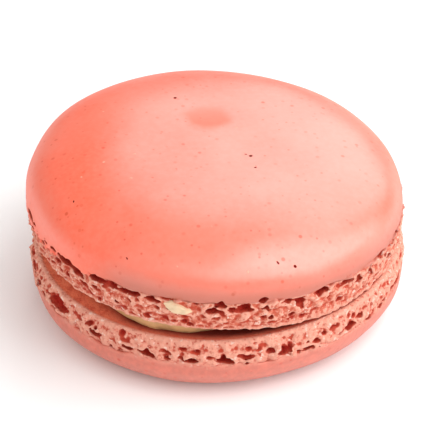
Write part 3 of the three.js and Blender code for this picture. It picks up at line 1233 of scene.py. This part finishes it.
class MACARON_OT_almond(bpy.types.Operator):
    """Set the almond chip into the upper foot and the flecks into the upper cap"""

    bl_idname = "macaron.almond"
    bl_label = "Almond"

    def execute(self, context):
        colours = context.scene.macaron_colours
        plan = upper_plan(context.scene.macaron_sizes)
        cap = bpy.data.objects["upper_shell"]
        chip = shave_almond()
        chip.name = "almond_chip"
        slope = Matrix.Rotation(radians(11), 4, "Y")
        size = Matrix.Diagonal((3.3 * MM, 3.0 * MM, 3.4 * MM, 1))
        spot = turned_place(bearing=-10.6, reach=plan.rim - 0.05 * MM, height=3.3 * MM)
        place(chip, plan.place @ spot @ slope @ size)
        bpy.ops.object.shade_smooth()
        finish(chip, almond_material("blanched almond", colours.almond, 0.88))
        pale = scatter_flecks("pale_flecks", cap, plan, PALE_FLECKS, extra=3, size=(0.28, 0.5), seed=3)
        finish(pale, almond_material("almond fleck", colours.crumb, 0.85))
        dark = scatter_flecks("dark_flecks", cap, plan, DARK_FLECKS, extra=0, size=(0.40, 0.60), seed=4)
        finish(dark, almond_material("almond skin fleck", colours.almond_skin, 0.6))
        return {"FINISHED"}


class MACARON_OT_crumbs(bpy.types.Operator):
    """Scatter loose crumbs over both feet"""

    bl_idname = "macaron.crumbs"
    bl_label = "Crumbs"

    def execute(self, context):
        sizes = context.scene.macaron_sizes
        shells = [bpy.data.objects[name] for name in ("lower_shell", "upper_shell")]
        plans = (lower_plan(sizes), upper_plan(sizes))
        crumbs = scatter_crumbs("foot_crumbs", shells, plans, count=260, seed=8)
        finish(crumbs, crumb_material(context.scene.macaron_colours))
        return {"FINISHED"}


class MACARON_OT_stage(bpy.types.Operator):
    """Lay the floor, hang the lights and set up the camera"""

    bl_idname = "macaron.stage"
    bl_label = "Stage"

    def execute(self, context):
        lay_floor(context)
        hang_lights(context)
        aim_camera(context)
        return {"FINISHED"}


# Stage


def lay_floor(context):
    """A wide pale sheet under the biscuit."""
    floor = add("plane", size=4)
    floor.name = "floor"
    bpy.ops.object.mode_set(mode="EDIT")
    bpy.ops.mesh.subdivide(number_cuts=3)
    bpy.ops.object.mode_set(mode="OBJECT")
    floor.data.materials.append(floor_material(context.scene.macaron_colours))


def area_light(context, name, azimuth, elevation, distance, across, radiance, tint):
    """A soft oblong light aimed at the biscuit. Azimuth 0 is behind it and positive to the right."""
    data = bpy.data.lights.new(name, "AREA")
    data.shape = "RECTANGLE"
    data.size, data.size_y = across
    data.energy = radiance * pi * across[0] * across[1]
    data.color = tint
    light = bpy.data.objects.new(name, data)
    turn, lift = radians(azimuth), radians(elevation)
    way = Vector((sin(turn) * cos(lift), cos(turn) * cos(lift), sin(lift)))
    light.location = way * distance + BISCUIT_MIDDLE
    light.rotation_euler = way.to_track_quat("Z", "Y").to_euler()
    context.collection.objects.link(light)


def hang_lights(context):
    """Bright windows behind, above, right and in front, a fill without gloss and light all round."""
    scene = context.scene
    scene.view_settings.view_transform = "Standard"
    scene.view_settings.look = "None"
    world = bpy.data.worlds.new("studio")
    world.use_nodes = True
    plug(world.node_tree.nodes["Background"].inputs, {"Color": WHITE, "Strength": WORLD_STRENGTH})
    scene.world = world
    for name, settings in LIGHTS.items():
        area_light(context, name, *settings)
    bpy.data.objects["left fill"].visible_glossy = False


def aim_camera(context):
    """The photograph's view: a long lens from the front, well above the biscuit."""
    elevation = radians(35.1)
    distance = 250 * MM
    focal_pixels = 2021
    roll = radians(-0.67)
    target = Vector((0.38 * MM, 0, 9.76 * MM))
    data = bpy.data.cameras.new("camera")
    data.sensor_width = 36
    data.lens = focal_pixels / FRAME_PIXELS * data.sensor_width
    data.clip_start = 0.01
    camera = bpy.data.objects.new("camera", data)
    back = Vector((0, -cos(elevation), sin(elevation)))
    camera.location = target + distance * back
    facing = back.to_track_quat("Z", "Y").to_matrix()
    camera.rotation_euler = (facing @ Matrix.Rotation(roll, 3, "Z")).to_euler()
    context.collection.objects.link(camera)
    context.scene.camera = camera


# Panel and registration


class MACARON_PT_panel(bpy.types.Panel):
    """Lists the steps that make the macaron"""

    bl_idname = "MACARON_PT_panel"
    bl_label = "Macaron"
    bl_space_type = "VIEW_3D"
    bl_region_type = "UI"
    bl_category = "Macaron"

    def draw(self, context):
        for operator in OPERATORS:
            self.layout.operator(operator.bl_idname)
        for group in (context.scene.macaron_sizes, context.scene.macaron_colours):
            for name in group.bl_rna.properties.keys():
                if name not in ("rna_type", "name"):
                    self.layout.prop(group, name)


OPERATORS = (
    MACARON_OT_lower_shell,
    MACARON_OT_upper_shell,
    MACARON_OT_cream,
    MACARON_OT_almond,
    MACARON_OT_crumbs,
    MACARON_OT_stage,
)
CLASSES = (MacaronSizes, MacaronColours, *OPERATORS, MACARON_PT_panel)


def register():
    for cls in CLASSES:
        bpy.utils.register_class(cls)
    bpy.types.Scene.macaron_sizes = PointerProperty(type=MacaronSizes)
    bpy.types.Scene.macaron_colours = PointerProperty(type=MacaronColours)


def unregister():
    del bpy.types.Scene.macaron_colours
    del bpy.types.Scene.macaron_sizes
    for cls in reversed(CLASSES):
        bpy.utils.unregister_class(cls)


def main():
    register()
    bpy.ops.macaron.lower_shell()
    bpy.ops.macaron.upper_shell()
    bpy.ops.macaron.cream()
    bpy.ops.macaron.almond()
    bpy.ops.macaron.crumbs()
    bpy.ops.macaron.stage()


if __name__ == "__main__":
    main()
